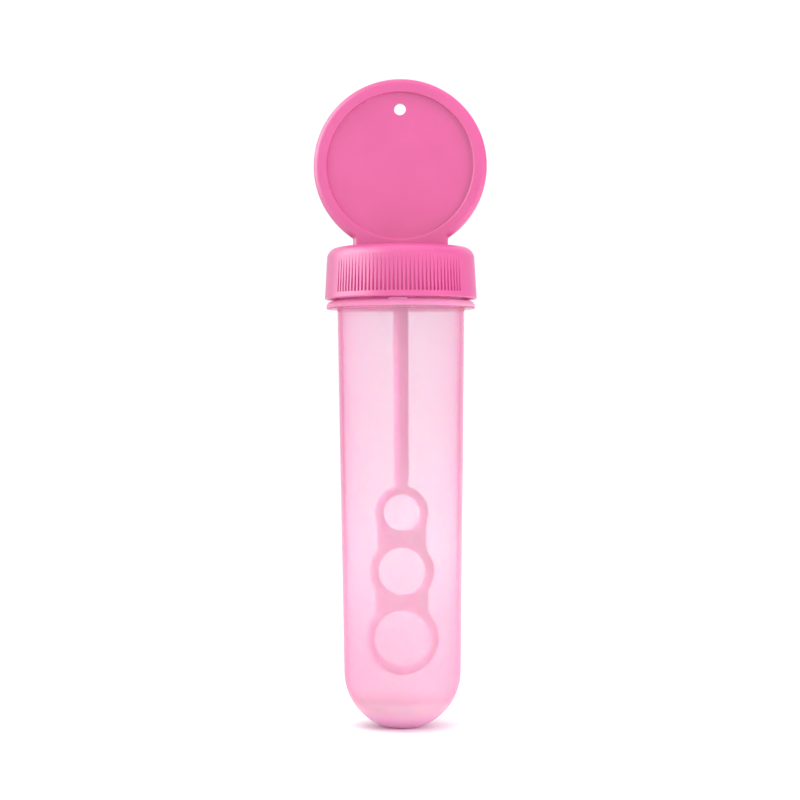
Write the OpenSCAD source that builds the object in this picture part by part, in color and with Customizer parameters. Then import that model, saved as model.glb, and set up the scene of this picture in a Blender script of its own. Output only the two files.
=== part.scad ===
// Bubble wand: a round-ended translucent tube, closed by a grooved screw cap with a flat
// disc grip, and a three-ring wand that hangs in the tube from the cap.
// Millimetres. The origin is the centre of the standing flat, +Z runs up the tube, and the
// disc and the rings face -Y.

/* [Tube] */
// Outside diameter just below the collar
tube_top_d = 28.6; // [24:0.1:29.6]
// Diameter of the round lower end
tube_end_d = 26.4; // [22:0.1:28.6]
// Height of the collar's underside above the standing flat
tube_h = 94.1; // [60:0.1:140]
// Wall thickness
wall = 1.2; // [0.8:0.05:2]
// Diameter of the standing flat
base_flat_d = 8; // [4:0.5:12]
// Thickness of the floor at its centre
floor_t = 3.6; // [1.5:0.1:6]
// Diameter of the flat part of the inner floor
floor_flat_d = 9; // [4:0.5:14]

/* [Collar] */
// Collar diameter
collar_d = 33.6; // [32:0.1:36]
// Collar thickness
collar_t = 1.75; // [1.7:0.05:3]
// Rounding of the collar's upper edge
collar_round = 1.25; // [0.3:0.05:1.35]
// Width of the stop lug on the front of the collar
lug_w = 4; // [2:0.5:8]
// Height of the stop lug above the collar
lug_h = 0.25; // [0.1:0.05:0.4]

/* [Neck and thread] */
// Outside diameter of the neck, without its thread
neck_d = 28; // [27.4:0.1:28.4]
// Height of the neck above the collar
neck_h = 9.6; // [8.5:0.05:9.7]
// Height of the neck thread's lower end above the collar
thread_lift = 2.75; // [2:0.05:4]
// Rise of the thread in one turn
pitch = 3; // [2.75:0.25:3.5]
// Turns of thread on the neck
neck_turns = 1.5; // [1:0.25:2]
// Turns of thread in the cap
cap_turns = 1; // [0.5:0.25:1.5]
// Height of a thread ridge, measured out from its wall
ridge_h = 0.9; // [0.5:0.05:1.1]
// Width of a thread ridge at its wall
ridge_w = 1.5; // [1:0.05:2]
// Width of a thread ridge at its crest
ridge_crest_w = 0.6; // [0.3:0.05:1]

/* [Cap] */
// Diameter of the skirt at its lower edge
cap_d = 34.3; // [32:0.1:40]
// Height of the cap from the skirt's lower edge to its flat top
cap_h = 11.65; // [11.5:0.05:14]
// Gap between the skirt and the collar
cap_gap = 0.45; // [0.35:0.05:1]
// How much the skirt's radius shrinks up to its shoulder
cap_draft = 0.5; // [0:0.05:1]
// Rounding of the shoulder
shoulder = 2.6; // [0.5:0.1:3]
// Inside diameter of the skirt
cap_bore_d = 30.4; // [29.9:0.1:32]
// Thickness of the top plate
top_t = 1.5; // [1:0.1:1.6]

/* [Grip grooves] */
// Grooves on the front of the skirt, and again on the back
groove_count = 35; // [9:2:45]
// Angle from one groove to the next
groove_step = 3.08; // [2:0.01:5]
// Radius of the grooves' floor, the same all the way up
groove_floor_r = 16.62; // [15.8:0.01:17]
// Width of the grooves' floor
groove_floor_w = 0.2; // [0.1:0.05:0.5]
// Height of the smooth band below the grooves
groove_band = 1.3; // [0.5:0.1:3]

/* [Disc grip] */
// Disc diameter
disc_d = 39.1; // [37:0.1:46]
// Height of the disc's centre above the cap's flat top
disc_lift = 18.5; // [16:0.05:26]
// Thickness of the rim
rim_t = 4; // [3.6:0.1:7]
// Diameter of the recessed face
recess_d = 33; // [29:0.1:35]
// Thickness of the panel between the two recessed faces
panel_t = 1.8; // [1:0.1:2.7]
// Rounding of the rim's outer edges
rim_round = 1.3; // [0.3:0.1:1.8]
// Rounding of the rim's inner edges
rim_inner_round = 0.6; // [0.1:0.1:1]
// Width of the foot that joins the disc to the cap
foot_w = 21.4; // [10:0.1:26]
// Radius of the hollow corner between the foot and the disc
foot_fillet = 0.7; // [0.5:0.1:6]
// Diameter of the hang hole
hang_hole_d = 2.7; // [2:0.1:5]
// Height of the hang hole above the disc's centre
hang_hole_lift = 12.75; // [6:0.05:13.5]

/* [Wand] */
// Heights of the ring centres above the standing flat, from the top ring down
ring_heights = [48.1, 34.9, 19.75]; // [15:0.05:60]
// Diameters of the ring holes, from the top ring down
ring_holes = [8.1, 10.5, 12.45]; // [5:0.05:15]
// Thickness of the round bar that the rings are made of
ring_bar_d = 2.05; // [1.7:0.05:3]
// Widths of the webs between neighbouring rings
web_widths = [11, 11.9]; // [4:0.1:14]
// Thickness of the webs
web_t = 1.6; // [1:0.1:2]
// Stem diameter at the cap
stem_top_d = 3.5; // [2.5:0.1:5]
// Stem diameter above its taper
stem_end_d = 3.3; // [2.5:0.1:5]
// Stem diameter where it meets the top ring
stem_root_d = 2; // [1:0.1:2.2]

/* [Wand socket] */
// Outside diameter of the socket boss under the cap's top
boss_d = 7; // [5:0.1:9]
// Length of the boss below the top plate
boss_h = 6.4; // [5.5:0.1:8]
// Depth of the socket
socket_depth = 5.4; // [3:0.1:6.4]
// Radial clearance between the spigot and the socket
socket_clearance = 0.05; // [0.01:0.01:0.1]
// Height of the snap bead above the spigot's surface
bead_h = 0.2; // [0.1:0.05:0.4]

/* [Liner] */
// Thickness of the sealing washer
liner_t = 0.8; // [0.5:0.05:0.9]
// Clearance round the boss
liner_clearance = 0.2; // [0.1:0.05:0.5]

/* [Hidden] */
$fn = 96;

tube_pink = [0.97, 0.72, 0.85, 0.55];
cap_pink = [0.93, 0.42, 0.66];
wand_pink = [0.95, 0.6, 0.78];
liner_white = [0.95, 0.95, 0.93];

// Overlap that lets one cut or union run past a face
past = 0.5;

tube_top_r = tube_top_d / 2;
end_r = tube_end_d / 2;
base_flat_r = base_flat_d / 2;
end_z = sqrt(end_r * end_r - base_flat_r * base_flat_r);
floor_flat_r = floor_flat_d / 2;
inner_end_r = end_r - wall;
inner_top_r = tube_top_r - wall;
floor_round = inner_end_r - floor_flat_r;

collar_r = collar_d / 2;
collar_top = tube_h + collar_t;
collar_lower_round = 0.35;
lug_set_back = 0.5;
lug_outer_r = collar_r - lug_set_back;
lug_depth = 1.8;

neck_r = neck_d / 2;
neck_top = collar_top + neck_h;
thread_z = collar_top + thread_lift;
ridge_root = 0.2;
ridge_runout = 25;
ridge_step = 5;
ridge_end_share = 0.02;

cap_r = cap_d / 2;
cap_bottom = collar_top + cap_gap;
cap_top = cap_bottom + cap_h;
shoulder_z = cap_top - shoulder;
shoulder_r = cap_r - cap_draft;
cap_bore_r = cap_bore_d / 2;
cap_edge = 0.25;
cap_lead_in = 0.5;
plate_z = cap_top - top_t;
// The cap's ridge starts this share of a turn after the neck's, half a pitch below it
cap_thread_turn = 0.25;
cap_thread_z = thread_z + pitch * (cap_thread_turn - 0.5);
groove_flank = 20;

disc_r = disc_d / 2;
disc_z = cap_top + disc_lift;
recess_r = recess_d / 2;
foot_r = foot_w / 2;
fillet_x = foot_r + foot_fillet;
fillet_z = disc_z - sqrt(pow(disc_r + foot_fillet, 2) - fillet_x * fillet_x);
fillet_share = disc_r / (disc_r + foot_fillet);
foot_top_x = fillet_x * fillet_share;
foot_top_z = disc_z + (fillet_z - disc_z) * fillet_share;

ring_radii = [for (hole = ring_holes) (hole + ring_bar_d) / 2];
stem_end_z = ring_heights[0] + ring_radii[0];
stem_taper_h = 2.5;

boss_z = plate_z - boss_h;
socket_top = boss_z + socket_depth;
spigot_r = stem_top_d / 2;
socket_r = spigot_r + socket_clearance;
spigot_end_gap = 0.3;
spigot_top = socket_top - spigot_end_gap;
bead_z = boss_z + socket_depth / 2;

liner_gap = (plate_z - neck_top - liner_t) / 2;
liner_z = neck_top + liner_gap;

// Points of one swept thread ridge: four corners at each step along the helix.
// The ridge stands on a wall of radius wall_r, rises by height (negative points inwards)
// and fades out over the run-out angle at both ends.
function ridge_points(wall_r, height, z, turns) =
    let (sweep = turns * 360, side = sign(height))
    [for (a = [0 : ridge_step : sweep])
        let (
            fade = min(1, min(a, sweep - a) / ridge_runout),
            root = wall_r - side * ridge_root,
            crest = wall_r + height * max(fade, ridge_end_share),
            mid = z + pitch * a / 360,
            corners = [
                [root, -ridge_w],
                [crest, -ridge_crest_w],
                [crest, ridge_crest_w],
                [root, ridge_w]
            ]
        )
        each [for (corner = corners)
            [corner[0] * cos(a), corner[0] * sin(a), mid + corner[1] / 2]]
    ];

// Triangles that join each step's four corners to the next, with a cap at both ends.
function ridge_faces(rows, flip) =
    let (
        last = 4 * (rows - 1),
        sides = [for (row = [0 : rows - 2], k = [0 : 3])
            let (p = 4 * row + k, q = 4 * row + (k + 1) % 4)
            each [[p, q, q + 4], [p, q + 4, p + 4]]],
        ends = [[0, 2, 1], [0, 3, 2], [last, last + 1, last + 2], [last, last + 2, last + 3]],
        all = concat(sides, ends)
    )
    flip ? [for (f = all) [f[2], f[1], f[0]]] : all;

module ridge(wall_r, height, z, turns) {
    points = ridge_points(wall_r, height, z, turns);
    polyhedron(points, ridge_faces(len(points) / 4, height < 0), convexity = 6);
}

// A disc standing on edge, facing -Y, centred on the given height.
module upright(z) {
    translate([0, 0, z])
        rotate([90, 0, 0])
            children();
}

module tube_inside() {
    intersection() {
        square([tube_top_r, neck_top + past]);
        union() {
            translate([floor_flat_r, floor_t + floor_round])
                circle(floor_round);
            translate([0, floor_t])
                square([floor_flat_r, 2 * floor_round]);
            polygon([
                [0, floor_t + floor_round],
                [inner_end_r, floor_t + floor_round],
                [inner_top_r, tube_h],
                [inner_top_r, neck_top + past],
                [0, neck_top + past]
            ]);
        }
    }
}

module tube_outside() {
    intersection() {
        translate([0, 0, end_z])
            sphere(end_r);
        cylinder(h = end_z, r = end_r + past);
    }
    translate([0, 0, end_z])
        cylinder(h = tube_h - end_z, r1 = end_r, r2 = tube_top_r);
}

module collar() {
    inner_r = neck_r - past;
    round_r = collar_r - collar_round;
    round_z = collar_top - collar_round;
    lower_z = tube_h + collar_lower_round;
    rotate_extrude() {
        translate([inner_r, tube_h])
            square([round_r - inner_r, collar_t]);
        translate([round_r, round_z])
            circle(collar_round);
        translate([inner_r, lower_z])
            square([collar_r - inner_r, round_z - lower_z]);
        translate([collar_r - collar_lower_round, lower_z])
            circle(collar_lower_round);
        translate([inner_r, tube_h])
            square([collar_r - collar_lower_round - inner_r, collar_lower_round]);
    }
    translate([-lug_w / 2, -lug_outer_r, round_z])
        cube([lug_w, lug_depth, collar_round + lug_h]);
}

module tube() {
    color(tube_pink)
        difference() {
            union() {
                tube_outside();
                collar();
                translate([0, 0, collar_top - past])
                    cylinder(h = neck_h + past, r = neck_r);
                ridge(neck_r, ridge_h, thread_z, neck_turns);
            }
            rotate_extrude()
                tube_inside();
        }
}

module skirt_profile() {
    difference() {
        union() {
            polygon([
                [0, cap_bottom],
                [cap_r - cap_edge, cap_bottom],
                [cap_r, cap_bottom + cap_edge],
                [shoulder_r, shoulder_z],
                [0, shoulder_z]
            ]);
            translate([0, shoulder_z])
                square([shoulder_r - shoulder, shoulder]);
            intersection() {
                translate([shoulder_r - shoulder, shoulder_z])
                    circle(shoulder);
                translate([0, shoulder_z - past])
                    square([shoulder_r, shoulder + 2 * past]);
            }
        }
        translate([0, cap_bottom - past])
            square([cap_bore_r, plate_z - cap_bottom + past]);
        polygon([
            [0, cap_bottom - past],
            [cap_bore_r + cap_lead_in + past, cap_bottom - past],
            [cap_bore_r, cap_bottom + cap_lead_in],
            [0, cap_bottom + cap_lead_in]
        ]);
    }
}

// The grip grooves: upright channels with sloping sides and a floor of constant radius,
// so that they deepen down the drafted skirt and fade out at the shoulder.
module grooves() {
    reach = cap_r - groove_floor_r + past;
    floor_half = groove_floor_w / 2;
    mouth_half = floor_half + reach * tan(groove_flank);
    first = -90 - groove_step * (groove_count - 1) / 2;
    translate([0, 0, cap_bottom + groove_band])
        linear_extrude(cap_h)
            for (side = [0, 180], i = [0 : groove_count - 1])
                rotate(first + side + i * groove_step)
                    polygon([
                        [groove_floor_r, -floor_half],
                        [groove_floor_r + reach, -mouth_half],
                        [groove_floor_r + reach, mouth_half],
                        [groove_floor_r, floor_half]
                    ]);
}

module rim_profile() {
    half = rim_t / 2;
    outer_flat = half - rim_round;
    inner_flat = half - rim_inner_round;
    outer_mid = disc_r - rim_round;
    inner_mid = recess_r + rim_inner_round;
    translate([inner_mid, -half])
        square([outer_mid - inner_mid, rim_t]);
    translate([outer_mid, -outer_flat])
        square([rim_round, 2 * outer_flat]);
    translate([recess_r, -inner_flat])
        square([rim_inner_round, 2 * inner_flat]);
    for (side = [-1, 1]) {
        translate([outer_mid, side * outer_flat])
            circle(rim_round);
        translate([inner_mid, side * inner_flat])
            circle(rim_inner_round);
    }
}

module foot_profile() {
    difference() {
        union() {
            translate([-foot_r, plate_z + past])
                square([foot_w, disc_z - plate_z]);
            translate([-foot_top_x, fillet_z])
                square([2 * foot_top_x, foot_top_z - fillet_z]);
        }
        for (side = [-1, 1])
            translate([side * fillet_x, fillet_z])
                circle(foot_fillet);
        translate([0, disc_z])
            circle(recess_r + rim_inner_round);
    }
}

module disc_grip() {
    upright(disc_z) {
        rotate_extrude()
            rim_profile();
        cylinder(h = panel_t, r = recess_r + rim_inner_round, center = true);
    }
    upright(0)
        linear_extrude(rim_t, center = true)
            foot_profile();
}

module screw_cap() {
    color(cap_pink)
        difference() {
            union() {
                difference() {
                    rotate_extrude()
                        skirt_profile();
                    grooves();
                }
                rotate(360 * cap_thread_turn)
                    ridge(cap_bore_r, -ridge_h, cap_thread_z, cap_turns);
                translate([0, 0, boss_z])
                    cylinder(h = boss_h + past, d = boss_d);
                disc_grip();
            }
            translate([0, 0, boss_z - past])
                cylinder(h = socket_depth + past, r = socket_r);
            translate([0, 0, bead_z])
                rotate_extrude()
                    translate([socket_r, 0])
                        circle(bead_h + socket_clearance);
            upright(disc_z + hang_hole_lift)
                cylinder(h = rim_t + 2 * past, d = hang_hole_d, center = true);
        }
}

// A web between ring i and the next ring down, with rounded side edges.
module web(i) {
    half = web_widths[i] / 2 - web_t / 2;
    difference() {
        translate([0, 0, ring_heights[i + 1]])
            linear_extrude(ring_heights[i] - ring_heights[i + 1]) {
                square([2 * half, web_t], center = true);
                for (side = [-1, 1])
                    translate([side * half, 0])
                        circle(d = web_t);
            }
        for (k = [i, i + 1])
            upright(ring_heights[k])
                cylinder(h = web_t + 2 * past, r = ring_radii[k], center = true);
    }
}

module wand() {
    color(wand_pink) {
        for (i = [0 : len(ring_heights) - 1])
            upright(ring_heights[i])
                rotate_extrude()
                    translate([ring_radii[i], 0])
                        circle(d = ring_bar_d);
        for (i = [0 : len(web_widths) - 1])
            web(i);
        translate([0, 0, stem_end_z])
            cylinder(h = stem_taper_h, d1 = stem_root_d, d2 = stem_end_d);
        translate([0, 0, stem_end_z + stem_taper_h])
            cylinder(h = boss_z - stem_end_z - stem_taper_h, d1 = stem_end_d, d2 = stem_top_d);
        translate([0, 0, boss_z])
            cylinder(h = spigot_top - boss_z, r = spigot_r);
        translate([0, 0, bead_z])
            rotate_extrude()
                translate([spigot_r - socket_clearance, 0])
                    circle(bead_h);
    }
}

module cap_liner() {
    color(liner_white)
        translate([0, 0, liner_z])
            difference() {
                cylinder(h = liner_t, r = neck_r);
                translate([0, 0, -past])
                    cylinder(h = liner_t + 2 * past, r = boss_d / 2 + liner_clearance);
            }
}

tube();
screw_cap();
wand();
cap_liner();
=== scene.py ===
import math

import bmesh
import bpy
import numpy as np
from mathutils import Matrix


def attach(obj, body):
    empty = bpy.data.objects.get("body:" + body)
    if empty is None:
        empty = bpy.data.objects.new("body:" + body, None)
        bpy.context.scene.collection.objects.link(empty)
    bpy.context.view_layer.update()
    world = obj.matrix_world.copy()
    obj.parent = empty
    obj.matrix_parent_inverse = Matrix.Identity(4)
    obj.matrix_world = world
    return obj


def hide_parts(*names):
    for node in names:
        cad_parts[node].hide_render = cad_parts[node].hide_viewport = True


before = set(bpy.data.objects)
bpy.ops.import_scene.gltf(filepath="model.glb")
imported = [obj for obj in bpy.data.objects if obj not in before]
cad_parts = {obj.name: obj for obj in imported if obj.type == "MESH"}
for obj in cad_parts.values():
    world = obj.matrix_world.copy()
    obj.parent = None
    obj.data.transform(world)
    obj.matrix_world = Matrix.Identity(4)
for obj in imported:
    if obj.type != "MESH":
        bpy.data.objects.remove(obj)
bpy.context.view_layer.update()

# Camera. It stands level with the middle of the object, about half a metre in front of the disc
# and a little to its right, and leans by a quarter of a degree as the photograph does.
camera_distance = 0.463
camera_height = 0.0736
camera_azimuth = math.radians(2.2)
camera_lean = math.radians(0.26)
camera_left = 0.00029

camera_lens = bpy.data.cameras.new("camera")
camera_lens.lens = 92.2
camera_lens.sensor_width = 36
camera_lens.clip_start = 0.01
camera = bpy.data.objects.new("camera", camera_lens)
camera.location = (
    camera_distance * math.sin(camera_azimuth) - camera_left,
    -camera_distance * math.cos(camera_azimuth),
    camera_height,
)
camera.rotation_euler = (math.pi / 2, camera_lean, camera_azimuth)
bpy.context.scene.collection.objects.link(camera)
bpy.context.scene.camera = camera

# Tube. One thin translucent polypropylene moulding: a drafted wall on a round lower end, a collar
# with a small stop lug, and a threaded neck that the cap hides. It stands on an 8 mm flat.
mm = 0.001
tube_end_r = 13.2
tube_top_r = 14.3
wall = 1.2
tube_h = 94.1
foot_flat_r = 4.0
end_centre_z = math.sqrt(tube_end_r ** 2 - foot_flat_r ** 2)
floor_z = 3.6
floor_flat_r = 4.5
floor_round = tube_end_r - wall - floor_flat_r
bore_r = tube_top_r - wall
collar_r = 16.8
collar_top = 95.85
collar_round = 1.25
collar_lower_round = 0.35
collar_root_round = 0.5
lug_half_w = 2.0
lug_front_r = 16.3
lug_back_r = 14.5
lug_top = 96.1
lug_edge_round = 0.12
lug_side_angle = 0.4
neck_r = 14.0
neck_top = 105.45
neck_edge = 0.3
thread_start_z = 98.6
thread_pitch = 3.0
ridge_h = 0.9
ridge_root_w = 1.5
ridge_crest_w = 0.6
ridge_runout = 25.0
neck_turns = 1.5
tube_columns = 288


def straight(start, end, steps):
    """Points of a straight run, both ends included."""
    share = np.linspace(0, 1, steps + 1)[:, None]
    return np.array(start, float) * (1 - share) + np.array(end, float) * share


def arc(centre, radius, start, end, steps):
    """Points of a round run between two angles in degrees, both ends included."""
    turn = np.radians(np.linspace(start, end, steps + 1))
    return np.column_stack([centre[0] + radius * np.cos(turn), centre[1] + radius * np.sin(turn)])


def outline(*runs):
    """Joins runs into one line of points, without the doubled ends."""
    points = np.vstack(runs)
    step = np.hypot(*np.diff(points, axis=0).T)
    return points[np.concatenate([[True], step > 1e-4])]


def even(points, count):
    """The same line with its points spread evenly along it."""
    length = np.concatenate([[0], np.cumsum(np.hypot(*np.diff(points, axis=0).T))])
    at = np.linspace(0, length[-1], count)
    return np.column_stack([np.interp(at, length, points[:, k]) for k in (0, 1)])


def closed_skin(name, rows, first_pole, last_pole):
    """A closed mesh from loops of points, row by row, with a point that closes each end."""
    count, columns = rows.shape[:2]
    points = np.vstack([rows.reshape(-1, 3), [first_pole], [last_pole]]) * mm
    low, high = count * columns, count * columns + 1
    faces = []
    for j in range(columns):
        k = (j + 1) % columns
        faces.append((low, k, j))
        faces.append((high, (count - 1) * columns + j, (count - 1) * columns + k))
        for i in range(count - 1):
            a, b = i * columns, (i + 1) * columns
            faces.append((a + j, a + k, b + k, b + j))
    mesh = bpy.data.meshes.new(name)
    mesh.from_pydata(points.tolist(), [], faces)
    made = bpy.data.objects.new(name, mesh)
    bpy.context.scene.collection.objects.link(made)
    return made


def turned(name, radius, height, turn, first_z, last_z):
    """A turned skin: a radius and a height for each row and column, at the given angles."""
    rows = np.stack([radius * np.cos(turn), radius * np.sin(turn), height + 0 * radius], axis=2)
    return closed_skin(name, rows, (0, 0, first_z), (0, 0, last_z))


def shade(made, crease):
    """Smooth shading that keeps edges sharper than the crease angle, in degrees."""
    made.data.shade_smooth()
    made.data.set_sharp_from_angle(angle=math.radians(crease))


def thread_ridge(turn, height, start_turn, start_z, turns):
    """How far a thread ridge stands up at each angle and height, faded out at both ends."""
    degrees = np.degrees(turn) % 360
    sweep = turns * 360
    stand = 0 * (height + turn)
    for lap in range(math.ceil(turns) + 1):
        along = degrees - start_turn * 360 + 360 * lap
        off = np.abs(height - start_z - thread_pitch * along / 360)
        flank = np.clip((ridge_root_w / 2 - off) * 2 / (ridge_root_w - ridge_crest_w), 0, 1)
        fade = np.clip(np.minimum(along, sweep - along) / ridge_runout, 0, 1)
        stand = np.maximum(stand, ridge_h * fade * flank * flank * (3 - 2 * flank))
    return stand


wall_lean = math.degrees(math.atan2(tube_top_r - tube_end_r, tube_h - end_centre_z))
base_angle = math.degrees(math.atan2(-end_centre_z, foot_flat_r))
below_collar = outline(
    straight((foot_flat_r / 4, 0), (foot_flat_r, 0), 4),
    arc((0, end_centre_z), tube_end_r, base_angle, -wall_lean, 40),
    straight((tube_end_r, end_centre_z), (tube_top_r, tube_h - collar_root_round), 48)[1:],
    arc((tube_top_r + collar_root_round, tube_h - collar_root_round), collar_root_round, 180, 90, 6),
    straight((tube_top_r + collar_root_round, tube_h), (collar_r - collar_lower_round, tube_h), 4),
    arc((collar_r - collar_lower_round, tube_h + collar_lower_round), collar_lower_round, -90, 0, 6),
)
collar_mid = (collar_r - collar_round, collar_top - collar_round)
lug_angle = math.degrees(math.acos((lug_front_r - collar_mid[0]) / collar_round))
plain_top = even(outline(
    arc(collar_mid, collar_round, 0, 90, 24),
    straight((collar_mid[0], collar_top), (neck_r, collar_top), 12),
), 40)
lug_top_line = even(outline(
    arc(collar_mid, collar_round, 0, lug_angle, 16),
    straight((lug_front_r, lug_top - 0.4), (lug_front_r, lug_top - lug_edge_round), 4),
    arc((lug_front_r - lug_edge_round, lug_top - lug_edge_round), lug_edge_round, 0, 90, 4),
    straight((lug_front_r - lug_edge_round, lug_top), (lug_back_r, lug_top), 8),
    straight((lug_back_r, lug_top), (lug_back_r, collar_top), 2),
    straight((lug_back_r, collar_top), (neck_r, collar_top), 2),
), 40)
neck_line = outline(
    straight((neck_r, collar_top), (neck_r, neck_top - neck_edge), 92),
    arc((neck_r - neck_edge, neck_top - neck_edge), neck_edge, 0, 90, 5),
)
inside_line = outline(
    arc((bore_r + neck_edge, neck_top - neck_edge), neck_edge, 90, 180, 5),
    straight((bore_r, neck_top - neck_edge), (bore_r, tube_h), 8),
    straight((bore_r, tube_h), (tube_end_r - wall, floor_z + floor_round), 48),
    arc((floor_flat_r, floor_z + floor_round), floor_round, 0, -90, 24),
    straight((floor_flat_r, floor_z), (floor_flat_r / 4, floor_z), 4),
)

lug_turn = lug_half_w / lug_front_r
even_turns = np.linspace(-math.pi, math.pi, tube_columns, endpoint=False)
lug_edges = np.array([-1, 1])[:, None] * lug_turn + np.radians([[0, lug_side_angle]]) * [[-1], [1]]
tube_turn = np.unique(np.concatenate([even_turns, lug_edges.ravel() - math.pi / 2]))
off_front = np.abs(tube_turn + math.pi / 2)
on_lug = (off_front <= lug_turn + 1e-6)[None, :, None]
collar_rows = np.where(on_lug, lug_top_line[:, None, :], plain_top[:, None, :])


def all_round(line):
    """The same outline at every angle of the tube."""
    return np.repeat(line[:, None, :], len(tube_turn), axis=1)


neck_rows = all_round(neck_line)
neck_rows[:, :, 0] += thread_ridge(tube_turn[None, :], neck_rows[:, :, 1], 0, thread_start_z, neck_turns)
tube_rows = np.vstack([
    all_round(below_collar), collar_rows[1:-1], neck_rows, all_round(inside_line)[1:],
])
tube = turned("tube_moulding", tube_rows[:, :, 0], tube_rows[:, :, 1], tube_turn, 0, floor_z)
shade(tube, 50)


def add_node(material, kind, **settings):
    """A shader node with its plain values set, sockets by name and options by attribute."""
    made = material.node_tree.nodes.new(kind)
    for name, value in settings.items():
        if name in made.inputs:
            made.inputs[name].default_value = value
        else:
            setattr(made, name, value)
    return made


def new_material(name, **sockets):
    """A material with one Principled shader, its constant sockets set by name."""
    material = bpy.data.materials.new(name)
    material.use_nodes = True
    shader = material.node_tree.nodes["Principled BSDF"]
    for socket, value in sockets.items():
        shader.inputs[socket.replace("_", " ")].default_value = value
    return material, shader


def link(material, start, end):
    material.node_tree.links.new(start, end)


def grain(material, scale, detail):
    """Moulded grain in the piece's own space, as a noise of the given fineness per metre."""
    place = add_node(material, "ShaderNodeTexCoord")
    noise = add_node(material, "ShaderNodeTexNoise", Scale=scale, Detail=detail)
    link(material, place.outputs["Object"], noise.inputs["Vector"])
    return noise


def ranged(material, value, start, end, low, high, blend):
    """Turns a number between start and end into one between low and high."""
    span = add_node(material, "ShaderNodeMapRange", interpolation_type=blend)
    span.inputs["From Min"].default_value = start
    span.inputs["From Max"].default_value = end
    span.inputs["To Min"].default_value = low
    span.inputs["To Max"].default_value = high
    link(material, value, span.inputs["Value"])
    return span.outputs["Result"]


def product(material, first, second):
    """Two numbers multiplied."""
    times = add_node(material, "ShaderNodeMath", operation="MULTIPLY")
    link(material, first, times.inputs[0])
    link(material, second, times.inputs[1])
    return times.outputs["Value"]


def spread(material, noise, low, high):
    """Turns the noise into a number between low and high."""
    return ranged(material, noise.outputs["Fac"], 0.3, 0.7, low, high, "LINEAR")


def tint(material, noise, low, high):
    """Turns the noise into a colour between two close tones."""
    ramp = add_node(material, "ShaderNodeValToRGB")
    for stop, place, colour in zip(ramp.color_ramp.elements, (0.35, 0.65), (low, high)):
        stop.position = place
        stop.color = (*colour, 1)
    link(material, noise.outputs["Fac"], ramp.inputs["Fac"])
    return ramp.outputs["Color"]


def relief(material, shader, noise, depth, strength):
    """Bump of the given depth in metres."""
    bump = add_node(material, "ShaderNodeBump", Distance=depth, Strength=strength)
    link(material, noise.outputs["Fac"], bump.inputs["Height"])
    link(material, bump.outputs["Normal"], shader.inputs["Normal"])


def by_height(material, low, high, low_value, high_value):
    """A number that changes between two heights in the piece's own space, in millimetres."""
    place = add_node(material, "ShaderNodeTexCoord")
    split = add_node(material, "ShaderNodeSeparateXYZ")
    link(material, place.outputs["Object"], split.inputs["Vector"])
    height = split.outputs["Z"]
    return ranged(material, height, low * mm, high * mm, low_value, high_value, "SMOOTHSTEP")


def mixed(material, share, first, second):
    """A colour between two others."""
    blend = add_node(material, "ShaderNodeMix", data_type="RGBA")
    link(material, share, blend.inputs[0])
    link(material, first, blend.inputs[6])
    link(material, second, blend.inputs[7])
    return blend.outputs[2]


# The plastic is deepest in tint in the thick floor and the collar. The wall is painted pinker and
# milkier low down than under the cap, as painted shade low on the tube. Each fade runs between two
# heights in millimetres. The index is near that of air, so that the wand shows straight through the wall.
floor_fade = (1.6, 6.4)
lit_round_end_fade = (4, 8.5)
shaded_low_wall_fade = (6, 52)
collar_fade = (94.2, 94.6)
clear_fade = (1.6, 7.4)
shaded_milky_fade = (20, 80)
tube_plastic, tube_shader = new_material(
    "translucent_pink_plastic", IOR=1.015, Specular_IOR_Level=0.5,
    Subsurface_Weight=1.0, Subsurface_Radius=(0.0015, 0.0006, 0.0009), Subsurface_Scale=1.0
)
tube_grain = grain(tube_plastic, 60, 3)
thin_wall = tint(tube_plastic, tube_grain, (0.925, 0.91, 0.92), (0.935, 0.92, 0.93))
# Pinker tint low on the wall: painted shade.
shaded_low_wall = tint(tube_plastic, tube_grain, (0.90, 0.725, 0.79), (0.91, 0.745, 0.81))
thick_floor = tint(tube_plastic, tube_grain, (0.80, 0.39, 0.63), (0.82, 0.42, 0.65))
collar_tint = tint(tube_plastic, tube_grain, (0.88, 0.42, 0.66), (0.90, 0.45, 0.69))
# Paler tint on the round end: painted light on the rounded base.
lit_round_end = tint(tube_plastic, tube_grain, (0.935, 0.86, 0.895), (0.945, 0.88, 0.915))
wall_tint = mixed(tube_plastic, by_height(tube_plastic, *shaded_low_wall_fade, 0, 1), shaded_low_wall, thin_wall)
wall_tint = mixed(tube_plastic, by_height(tube_plastic, *lit_round_end_fade, 0, 1), lit_round_end, wall_tint)
wall_tint = mixed(tube_plastic, by_height(tube_plastic, *collar_fade, 0, 1), wall_tint, collar_tint)
wall_tint = mixed(tube_plastic, by_height(tube_plastic, *floor_fade, 0, 1), thick_floor, wall_tint)
link(tube_plastic, wall_tint, tube_shader.inputs["Base Color"])
clear_share = by_height(tube_plastic, *clear_fade, 0.3, 0.88)
clear_share = product(tube_plastic, clear_share, by_height(tube_plastic, *collar_fade, 1.0, 0.6))
# Milkier low on the wall: painted shade, together with the pinker tint.
clear_share = product(tube_plastic, clear_share, by_height(tube_plastic, *shaded_milky_fade, 0.88, 1.0))
link(tube_plastic, clear_share, tube_shader.inputs["Transmission Weight"])
tube_gloss = spread(tube_plastic, grain(tube_plastic, 900, 4), 0.08, 0.14)
link(tube_plastic, tube_gloss, tube_shader.inputs["Roughness"])
relief(tube_plastic, tube_shader, grain(tube_plastic, 220, 2), 0.00002, 0.3)
absorb = add_node(tube_plastic, "ShaderNodeVolumeAbsorption", Color=(0.905, 0.05, 0.50, 1), Density=160)
tube_output = tube_plastic.node_tree.nodes["Material Output"]
link(tube_plastic, absorb.outputs["Volume"], tube_output.inputs["Volume"])
tube.data.materials.append(tube_plastic)
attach(tube, "tube")
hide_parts("tube")

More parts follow.
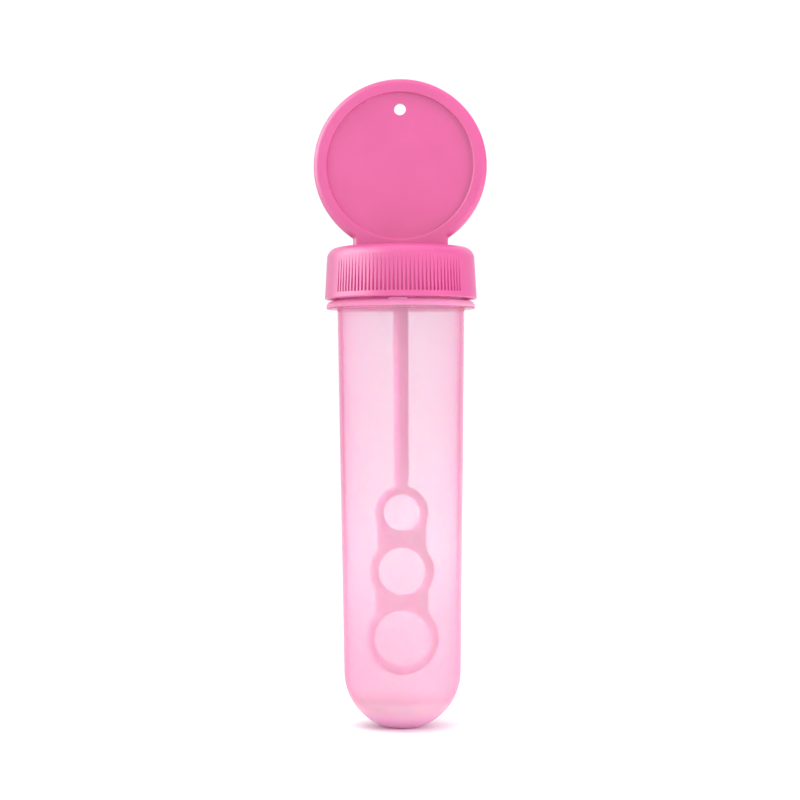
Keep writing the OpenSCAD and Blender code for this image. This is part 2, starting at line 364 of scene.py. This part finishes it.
# Wand. One polypropylene moulding that hangs in the tube: a round stem, three rings of round bar
# that grow downwards with flat webs between them, and a spigot with a snap bead in the cap's socket.
ring_heights = (48.1, 34.9, 19.75)
ring_radii = (5.075, 6.275, 7.25)
ring_bar_r = 1.025
web_widths = (11.0, 11.9)
web_t = 1.6
stem_root_r = 1.0
stem_low_r = 1.65
stem_top_r = 1.75
stem_taper = 2.5
stem_sink = 0.3
stem_core_r = 0.3
spigot_chamfer = 0.3
boss_z = 100.05
spigot_top = 105.15
bead_z = 102.75
bead_h = 0.2
bead_inset = 0.05
wand_voxel = 0.13
lit_low_wand_fade = (14, 40)


def bar_ring(radius, height):
    """A ring of round bar that faces the front, in the plane of the disc."""
    made = bmesh.new()
    around, section = 144, 28
    points = []
    for i in range(around):
        a = 2 * math.pi * i / around
        for j in range(section):
            b = 2 * math.pi * j / section
            reach = radius + ring_bar_r * math.cos(b)
            points.append(made.verts.new(
                (reach * math.cos(a), ring_bar_r * math.sin(b), height + reach * math.sin(a))))
    for i in range(around):
        for j in range(section):
            k, m = (i + 1) % around, (j + 1) % section
            corners = (i, j), (k, j), (k, m), (i, m)
            made.faces.new([points[p * section + q] for p, q in corners])
    return made


def web_plate(index):
    """A flat plate between two rings, with round side edges, let into both rings' bars."""
    made = bmesh.new()
    half = web_widths[index] / 2 - web_t / 2
    top = ring_heights[index]
    end = ring_heights[index + 1]
    upper_r = ring_radii[index]
    lower_r = ring_radii[index + 1]
    edge = arc((half, 0), web_t / 2, 2, 90, 10)
    flat = straight((half, web_t / 2), (0, web_t / 2), 16)[1:]
    right = np.vstack([edge, flat])
    half_section = np.vstack([right, right[-2::-1] * [-1, 1]])
    rows = []
    for share in np.linspace(0, 1, 13):
        for side in (-1, 1):
            row = []
            for x, y in half_section:
                high = top - math.sqrt(max(upper_r ** 2 - x * x, 0))
                low = end + math.sqrt(max(lower_r ** 2 - x * x, 0))
                row.append(made.verts.new((x, side * y, low + (high - low) * share)))
            rows.append(row)
    front, back = rows[0::2], rows[1::2]
    last = len(half_section) - 1
    for sheet in (front, back):
        for low, high in zip(sheet, sheet[1:]):
            for j in range(last):
                made.faces.new((low[j], low[j + 1], high[j + 1], high[j]))
    for j in range(last):
        for row in (0, -1):
            made.faces.new((front[row][j], front[row][j + 1], back[row][j + 1], back[row][j]))
    for j in (0, last):
        for low, high in zip(range(len(front)), range(1, len(front))):
            made.faces.new((front[low][j], front[high][j], back[high][j], back[low][j]))
    return made


def stem_rod():
    """The stem with its taper into the top ring, and the spigot with its snap bead."""
    made = bmesh.new()
    root_z = ring_heights[0] + ring_radii[0]
    bead = arc((stem_top_r - bead_inset, bead_z), bead_h, -75, 75, 8)
    line = outline(
        [(stem_core_r, root_z - stem_sink), (stem_root_r, root_z - stem_sink)],
        [(stem_low_r, root_z + stem_taper), (stem_top_r, boss_z)],
        bead,
        [(stem_top_r, spigot_top - spigot_chamfer), (stem_top_r - spigot_chamfer, spigot_top)],
        [(stem_core_r, spigot_top)],
    )
    columns = 48
    rows = []
    for r, z in line:
        turns = [2 * math.pi * j / columns for j in range(columns)]
        rows.append([made.verts.new((r * math.cos(t), r * math.sin(t), z)) for t in turns])
    for low, high in zip(rows, rows[1:]):
        for j in range(columns):
            k = (j + 1) % columns
            made.faces.new((low[j], low[k], high[k], high[j]))
    made.faces.new(rows[0][::-1])
    made.faces.new(rows[-1])
    return made


def apply_modifiers(made):
    """Puts the modified mesh in the place of the plain one."""
    depsgraph = bpy.context.evaluated_depsgraph_get()
    final = bpy.data.meshes.new_from_object(made.evaluated_get(depsgraph))
    made.modifiers.clear()
    made.data = final


wand_mesh = bpy.data.meshes.new("wand_moulding")
wand_parts = bmesh.new()
ring_parts = [bar_ring(radius, height) for radius, height in zip(ring_radii, ring_heights)]
for part in ring_parts + [web_plate(0), web_plate(1), stem_rod()]:
    bmesh.ops.recalc_face_normals(part, faces=part.faces)
    part.to_mesh(wand_mesh)
    wand_parts.from_mesh(wand_mesh)
    part.free()
wand_parts.to_mesh(wand_mesh)
wand_parts.free()
wand = bpy.data.objects.new("wand_moulding", wand_mesh)
bpy.context.scene.collection.objects.link(wand)
melt = wand.modifiers.new("melt", "REMESH")
melt.mode = "VOXEL"
melt.voxel_size = wand_voxel
soften = wand.modifiers.new("soften", "SMOOTH")
soften.factor = 0.5
soften.iterations = 8
apply_modifiers(wand)
wand.data.transform(((mm, 0, 0, 0), (0, mm, 0, 0), (0, 0, mm, 0), (0, 0, 0, 1)))
wand.data.shade_smooth()

wand_plastic, wand_shader = new_material(
    "pink_wand_plastic", Subsurface_Weight=1.0, Subsurface_Radius=(0.003, 0.0015, 0.002),
    Subsurface_Scale=1.0, IOR=1.49, Specular_IOR_Level=1.0
)
wand_grain = grain(wand_plastic, 120, 3)
# The wand is painted paler towards the bottom: painted light that offsets the tube's painted shade on the
# lower wall in front of it.
lit_low_wand = tint(wand_plastic, wand_grain, (0.67, 0.39, 0.57), (0.69, 0.42, 0.60))
upper_wand = tint(wand_plastic, wand_grain, (0.60, 0.175, 0.37), (0.62, 0.195, 0.395))
wand_tint = mixed(wand_plastic, by_height(wand_plastic, *lit_low_wand_fade, 0, 1), lit_low_wand, upper_wand)
link(wand_plastic, wand_tint, wand_shader.inputs["Base Color"])
wand_gloss = spread(wand_plastic, grain(wand_plastic, 2500, 3), 0.30, 0.38)
link(wand_plastic, wand_gloss, wand_shader.inputs["Roughness"])
relief(wand_plastic, wand_shader, grain(wand_plastic, 3500, 2), 0.00001, 0.4)
wand.data.materials.append(wand_plastic)
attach(wand, "wand")
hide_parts("wand")

# Liner. A soft washer die-cut from off-white foam sheet, pushed over the socket boss so that the
# closed cap presses it on the neck's rim.
liner_inner_r = 3.7
liner_outer_r = 14.0
liner_low = 105.55
liner_high = 106.35
liner_edge = 0.12
liner_turn = np.linspace(-math.pi, math.pi, 192, endpoint=False)
liner_line = outline(
    straight((liner_inner_r + liner_edge, liner_low), (liner_outer_r - liner_edge, liner_low), 14),
    arc((liner_outer_r - liner_edge, liner_low + liner_edge), liner_edge, -90, 0, 4),
    arc((liner_outer_r - liner_edge, liner_high - liner_edge), liner_edge, 0, 90, 4),
    straight((liner_outer_r - liner_edge, liner_high), (liner_inner_r + liner_edge, liner_high), 14),
    arc((liner_inner_r + liner_edge, liner_high - liner_edge), liner_edge, 90, 180, 4),
    arc((liner_inner_r + liner_edge, liner_low + liner_edge), liner_edge, 180, 270, 4)[:-1],
)
liner_points = [
    (r * math.cos(t) * mm, r * math.sin(t) * mm, z * mm) for r, z in liner_line for t in liner_turn
]
liner_faces = []
liner_columns = len(liner_turn)
for i in range(len(liner_line)):
    low = i * liner_columns
    high = (i + 1) % len(liner_line) * liner_columns
    for j in range(liner_columns):
        k = (j + 1) % liner_columns
        liner_faces.append((low + j, low + k, high + k, high + j))
liner_mesh = bpy.data.meshes.new("liner_washer")
liner_mesh.from_pydata(liner_points, [], liner_faces)
liner = bpy.data.objects.new("liner_washer", liner_mesh)
bpy.context.scene.collection.objects.link(liner)
shade(liner, 50)

liner_foam, liner_shader = new_material("foam_liner", Specular_IOR_Level=0.3)
foam_cells = add_node(liner_foam, "ShaderNodeTexVoronoi", Scale=2800)
foam_place = add_node(liner_foam, "ShaderNodeTexCoord")
link(liner_foam, foam_place.outputs["Object"], foam_cells.inputs["Vector"])
foam_tint = tint(liner_foam, grain(liner_foam, 700, 4), (0.80, 0.79, 0.76), (0.88, 0.87, 0.84))
link(liner_foam, foam_tint, liner_shader.inputs["Base Color"])
foam_gloss = spread(liner_foam, grain(liner_foam, 1500, 2), 0.75, 0.9)
link(liner_foam, foam_gloss, liner_shader.inputs["Roughness"])
foam_bump = add_node(liner_foam, "ShaderNodeBump", Distance=0.00006, Strength=0.6)
link(liner_foam, foam_cells.outputs["Distance"], foam_bump.inputs["Height"])
link(liner_foam, foam_bump.outputs["Normal"], liner_shader.inputs["Normal"])
liner.data.materials.append(liner_foam)
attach(liner, "liner")
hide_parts("cap_liner")

# Cap. One opaque satin polypropylene moulding: a skirt with fine grip grooves front and back, a
# rounded shoulder, the flat disc grip on its foot, and inside it the thread and the wand's socket.
cap_r = 17.15
cap_bottom = 96.3
cap_top = 107.95
cap_edge = 0.3
shoulder = 2.6
shoulder_r = 16.65
shoulder_z = cap_top - shoulder
cap_bore_r = 15.2
cap_lead_in = 0.5
plate_z = 106.45
cap_thread_turn = 0.25
cap_thread_z = thread_start_z - thread_pitch / 4
cap_turns = 1
plate_corner = 0.4
boss_r = 3.5
boss_edge = 0.2
socket_r = 1.8
socket_top = 105.45
socket_groove_r = 0.25
groove_count = 35
groove_step = 3.08
groove_floor_r = 16.62
groove_floor_half = 0.1
groove_flank = math.tan(math.radians(20))
groove_end_z = 97.6
groove_end_slope = 0.06
groove_end_r = cap_r - (cap_r - shoulder_r) * (groove_end_z - cap_bottom) / (shoulder_z - cap_bottom)
groove_crest_round = 0.05
groove_offsets = (-0.33, -0.26, -0.2, -0.15, -0.1, 0, 0.1, 0.15, 0.2, 0.26, 0.33)

inside_of_cap = outline(
    straight((socket_r / 4, socket_top), (socket_r, socket_top), 3),
    straight((socket_r, socket_top), (socket_r, bead_z + socket_groove_r), 4),
    arc((socket_r, bead_z), socket_groove_r, 90, -90, 8),
    straight((socket_r, bead_z - socket_groove_r), (socket_r, boss_z), 4),
    straight((socket_r, boss_z), (boss_r - boss_edge, boss_z), 3),
    arc((boss_r - boss_edge, boss_z + boss_edge), boss_edge, -90, 0, 4),
    straight((boss_r, boss_z + boss_edge), (boss_r, plate_z - plate_corner), 8),
    arc((boss_r + plate_corner, plate_z - plate_corner), plate_corner, 180, 90, 5),
    straight((boss_r + plate_corner, plate_z), (cap_bore_r - plate_corner, plate_z), 6),
    arc((cap_bore_r - plate_corner, plate_z - plate_corner), plate_corner, 90, 0, 5),
    straight((cap_bore_r, plate_z - plate_corner), (cap_bore_r, cap_bottom + cap_lead_in), 84),
    straight((cap_bore_r, cap_bottom + cap_lead_in), (cap_bore_r + cap_lead_in, cap_bottom), 4),
)
outside_of_cap = outline(
    straight((cap_bore_r + cap_lead_in, cap_bottom), (cap_r - cap_edge, cap_bottom), 3),
    arc((cap_r - cap_edge, cap_bottom + cap_edge), cap_edge, -90, 0, 6),
    straight((cap_r, cap_bottom + cap_edge), (groove_end_r, groove_end_z), 6),
    straight((groove_end_r, groove_end_z + groove_end_slope), (shoulder_r, shoulder_z), 28),
    arc((shoulder_r - shoulder, shoulder_z), shoulder, 0, 90, 18),
    straight((shoulder_r - shoulder, cap_top), (1, cap_top), 8),
)
groove_turns = np.radians(groove_step) * (np.arange(groove_count) - (groove_count - 1) / 2)
groove_mouths = groove_turns[:, None] + np.array(groove_offsets)[None, :] / cap_r
half_step = np.radians(groove_step) / 2
crest_turns = np.concatenate([groove_turns - half_step, groove_turns[-1:] + half_step])
grooved_half = crest_turns[-1]
plain_turns = np.linspace(grooved_half, math.pi - grooved_half, 50)[1:-1]
front_turns = np.sort(np.concatenate([groove_mouths.ravel(), crest_turns, plain_turns])) - math.pi / 2
cap_turn = np.concatenate([front_turns, front_turns + math.pi])


def groove_reach(turn):
    """Distance along the skirt from the nearest groove's centre line, past the floor's edge."""
    from_front = (turn + math.pi / 2 + math.pi / 2) % math.pi - math.pi / 2
    nearest = np.abs(from_front[:, None] - groove_turns[None, :]).min(axis=1)
    return np.maximum(nearest * cap_r - groove_floor_half, 0)


def soft_min(a, b, blend):
    """The smaller of two radii, with the corner between them rounded."""
    h = np.maximum(blend - np.abs(a - b), 0) / blend
    return np.minimum(a, b) - h * h * blend / 4


groove_wall = groove_floor_r + groove_reach(cap_turn) / groove_flank
outer_r = np.repeat(outside_of_cap[:, :1], len(cap_turn), axis=1)
outer_z = outside_of_cap[:, 1:]
cut = (outer_z > groove_end_z + 1e-6) & (outer_r > groove_floor_r - 0.5)
outer_r = np.where(cut, soft_min(outer_r, groove_wall[None, :], groove_crest_round), outer_r)
inner_r = np.repeat(inside_of_cap[:, :1], len(cap_turn), axis=1)
inner_z = inside_of_cap[:, 1:]
on_bore = (inside_of_cap[:, :1] > cap_bore_r - 0.1) & (inner_z > cap_bottom + 0.2)
cap_ridge = thread_ridge(cap_turn[None, :], inner_z, cap_thread_turn, cap_thread_z, cap_turns)
inner_r = np.where(on_bore, inner_r - cap_ridge, inner_r)
cap_radius = np.vstack([inner_r, outer_r[1:]])
cap_height = np.vstack([inner_z, outer_z[1:]])
cap = turned("screw_cap_moulding", cap_radius, cap_height, cap_turn, socket_top, cap_top)

disc_r = 19.55
disc_z = 126.45
rim_half = 2.0
rim_round = 1.3
recess_r = 16.5
recess_round = 0.35
recess_corner = 0.12
panel_half = 0.9
panel_loops = (2, 5, 8, 10.5, 12.5, 14, 15.2)
foot_half_w = 10.7
foot_fillet = 0.7
foot_sink = 0.6
hole_r = 1.35
hole_lift = 12.75
hole_edge = 0.15
hole_past = 1

# Outline of the disc and its foot about the disc's centre, from the foot's right lower corner
# round over the top to the left lower corner, and back along the buried edge.
fillet_x = foot_half_w + foot_fillet
fillet_down = math.sqrt((disc_r + foot_fillet) ** 2 - fillet_x ** 2)
fillet_turn = math.degrees(math.atan2(-fillet_down, fillet_x))
foot_down = disc_z - cap_top + foot_sink
right_edge = outline(
    straight((foot_half_w, -foot_down), (foot_half_w, -fillet_down), 14),
    arc((fillet_x, -fillet_down), foot_fillet, 180, 180 + fillet_turn, 16),
)
disc_edge = arc((0, 0), disc_r, fillet_turn, 180 - fillet_turn, 220)
left_edge = right_edge[::-1] * [-1, 1]
lower_edge = straight((-foot_half_w, -foot_down), (foot_half_w, -foot_down), 40)
plate_edge = outline(right_edge, disc_edge, left_edge, lower_edge)[:-1]
ahead = np.roll(plate_edge, -1, axis=0) - np.roll(plate_edge, 1, axis=0)
inward = np.column_stack([-ahead[:, 1], ahead[:, 0]]) / np.hypot(*ahead.T)[:, None]
on_foot = plate_edge[:, 1] < -fillet_down + 1e-6
inward[on_foot] = np.column_stack([-plate_edge[on_foot, 0] / foot_half_w, np.zeros(on_foot.sum())])
outward_turn = np.arctan2(plate_edge[:, 1], plate_edge[:, 0])
ray = np.column_stack([np.cos(outward_turn), np.sin(outward_turn)])


def plate_row(points, depth):
    """One loop of the plate: points in the disc's plane, at a depth in front of its middle."""
    return np.column_stack([points[:, 0], np.full(len(points), -depth), points[:, 1] + disc_z])


front_rows = []
for r in (*panel_loops, recess_r - recess_corner):
    front_rows.append(plate_row(ray * r, panel_half))
for r, depth in arc((recess_r - recess_corner, panel_half + recess_corner), recess_corner, -90, 0, 5)[1:]:
    front_rows.append(plate_row(ray * r, depth))
for r, depth in arc((recess_r + recess_round, rim_half - recess_round), recess_round, 180, 90, 6):
    front_rows.append(plate_row(ray * r, depth))
for share in (0.25, 0.5, 0.75):
    near = ray * (recess_r + recess_round)
    far = plate_edge + inward * rim_round
    front_rows.append(plate_row(near + (far - near) * share, rim_half))
for back, depth in arc((rim_round, rim_half - rim_round), rim_round, 90, 180, 10):
    front_rows.append(plate_row(plate_edge + inward * back, depth))
front_rows = np.array(front_rows)
back_rows = front_rows[::-1] * [1, -1, 1]
plate_rows = np.vstack([front_rows, [plate_row(plate_edge, 0)], back_rows])[:, ::-1]
disc = closed_skin("disc_plate", plate_rows, (0, -panel_half, disc_z), (0, panel_half, disc_z))

hole_line = outline(
    straight((hole_r + hole_past, panel_half + hole_past), (hole_r + hole_edge, panel_half), 2),
    arc((hole_r + hole_edge, panel_half - hole_edge), hole_edge, 90, 180, 5),
)
hole_line = np.vstack([hole_line, hole_line[::-1] * [1, -1]])[::-1]
hole_turn = np.linspace(-math.pi, math.pi, 72, endpoint=False)
hole_ray = np.column_stack([np.cos(hole_turn), np.sin(hole_turn)])
hole_rows = np.array([plate_row(hole_ray * r + [0, hole_lift], depth) for r, depth in hole_line])
hole_back = (0, panel_half + hole_past, disc_z + hole_lift)
hole_front = (0, -panel_half - hole_past, disc_z + hole_lift)
hole_cutter = closed_skin("hole_cutter", hole_rows, hole_back, hole_front)


def combine(made, other, operation):
    """Cuts or joins a second mesh into the first one and removes the second."""
    step = made.modifiers.new(operation.lower(), "BOOLEAN")
    step.operation = operation
    step.solver = "MANIFOLD"
    step.object = other
    apply_modifiers(made)
    bpy.data.objects.remove(other)


combine(disc, hole_cutter, "DIFFERENCE")
combine(cap, disc, "UNION")
shade(cap, 40)

cap_plastic, cap_shader = new_material(
    "satin_pink_plastic", Subsurface_Weight=0.12, Subsurface_Radius=(0.003, 0.0008, 0.0015),
    Subsurface_Scale=1.0, IOR=1.49, Specular_IOR_Level=1.0
)
cap_grain = grain(cap_plastic, 90, 4)
cap_tint = tint(cap_plastic, cap_grain, (0.522, 0.054, 0.2205), (0.547, 0.0615, 0.2355))
link(cap_plastic, cap_tint, cap_shader.inputs["Base Color"])
cap_gloss = spread(cap_plastic, grain(cap_plastic, 2200, 4), 0.34, 0.42)
link(cap_plastic, cap_gloss, cap_shader.inputs["Roughness"])
relief(cap_plastic, cap_shader, grain(cap_plastic, 4200, 2), 0.00001, 0.35)
cap.data.materials.clear()
cap.data.materials.append(cap_plastic)
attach(cap, "cap")
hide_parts("screw_cap")

# Studio. A wide pale matt floor just under the tube's flat, in a white room that is a little dimmer
# on the right. One soft light hangs overhead and one fills the right, and a large window on the left
# shows only as gloss.
floor_half = 40.0
floor_gap = 0.05 * mm
floor_mesh = bpy.data.meshes.new("floor")
floor_sides = ((-1, -1), (1, -1), (1, 1), (-1, 1))
floor_corners = [(x * floor_half, y * floor_half, -floor_gap) for x, y in floor_sides]
floor_mesh.from_pydata(floor_corners, [], [(0, 1, 2, 3)])
floor = bpy.data.objects.new("floor", floor_mesh)
bpy.context.scene.collection.objects.link(floor)
floor_paint, floor_shader = new_material("pale_floor", Specular_IOR_Level=0.1)
floor_tint = tint(floor_paint, grain(floor_paint, 3, 2), (0.965, 0.965, 0.965), (0.98, 0.98, 0.98))
link(floor_paint, floor_tint, floor_shader.inputs["Base Color"])
floor_gloss = spread(floor_paint, grain(floor_paint, 40, 2), 0.7, 0.8)
link(floor_paint, floor_gloss, floor_shader.inputs["Roughness"])
floor_mesh.materials.append(floor_paint)

world = bpy.data.worlds.new("white_room")
world.use_nodes = True
room = world.node_tree.nodes["Background"]
room.inputs["Color"].default_value = (1, 1, 1, 1)
room_place = add_node(world, "ShaderNodeTexCoord")
room_axes = add_node(world, "ShaderNodeSeparateXYZ")
link(world, room_place.outputs["Generated"], room_axes.inputs["Vector"])
overhead = ranged(world, room_axes.outputs["Z"], 0.05, 0.75, 1.05, 1.20, "SMOOTHSTEP")
right_side = ranged(world, room_axes.outputs["X"], 0.25, 0.85, 1.0, 0.58, "SMOOTHSTEP")
link(world, product(world, overhead, right_side), room.inputs["Strength"])
bpy.context.scene.world = world


def soft_light(name, side, power, place, aim):
    """A square soft light of the given side and power, turned towards a point."""
    lamp = bpy.data.lights.new(name, "AREA")
    lamp.size = side
    lamp.energy = power
    made = bpy.data.objects.new(name, lamp)
    made.location = place
    towards = np.array(aim) - np.array(place)
    flat = math.hypot(towards[0], towards[1])
    made.rotation_euler = (math.atan2(flat, -towards[2]), 0, math.atan2(-towards[0], towards[1]))
    bpy.context.scene.collection.objects.link(made)
    return made


top = soft_light("top_light", 0.5, 3.2, (-0.10, -0.15, 0.85), (0, 0, 0.05))
top.visible_glossy = False
fill = soft_light("right_light", 0.6, 4.8, (0.75, -0.45, 0.25), (0, 0, 0.08))
fill.visible_glossy = False
fill.visible_transmission = False
window = soft_light("left_light", 1.1, 13.0, (-0.78, -0.15, 0.42), (0, 0, 0.10))
window.visible_diffuse = False

bpy.context.scene.view_settings.view_transform = "Standard"
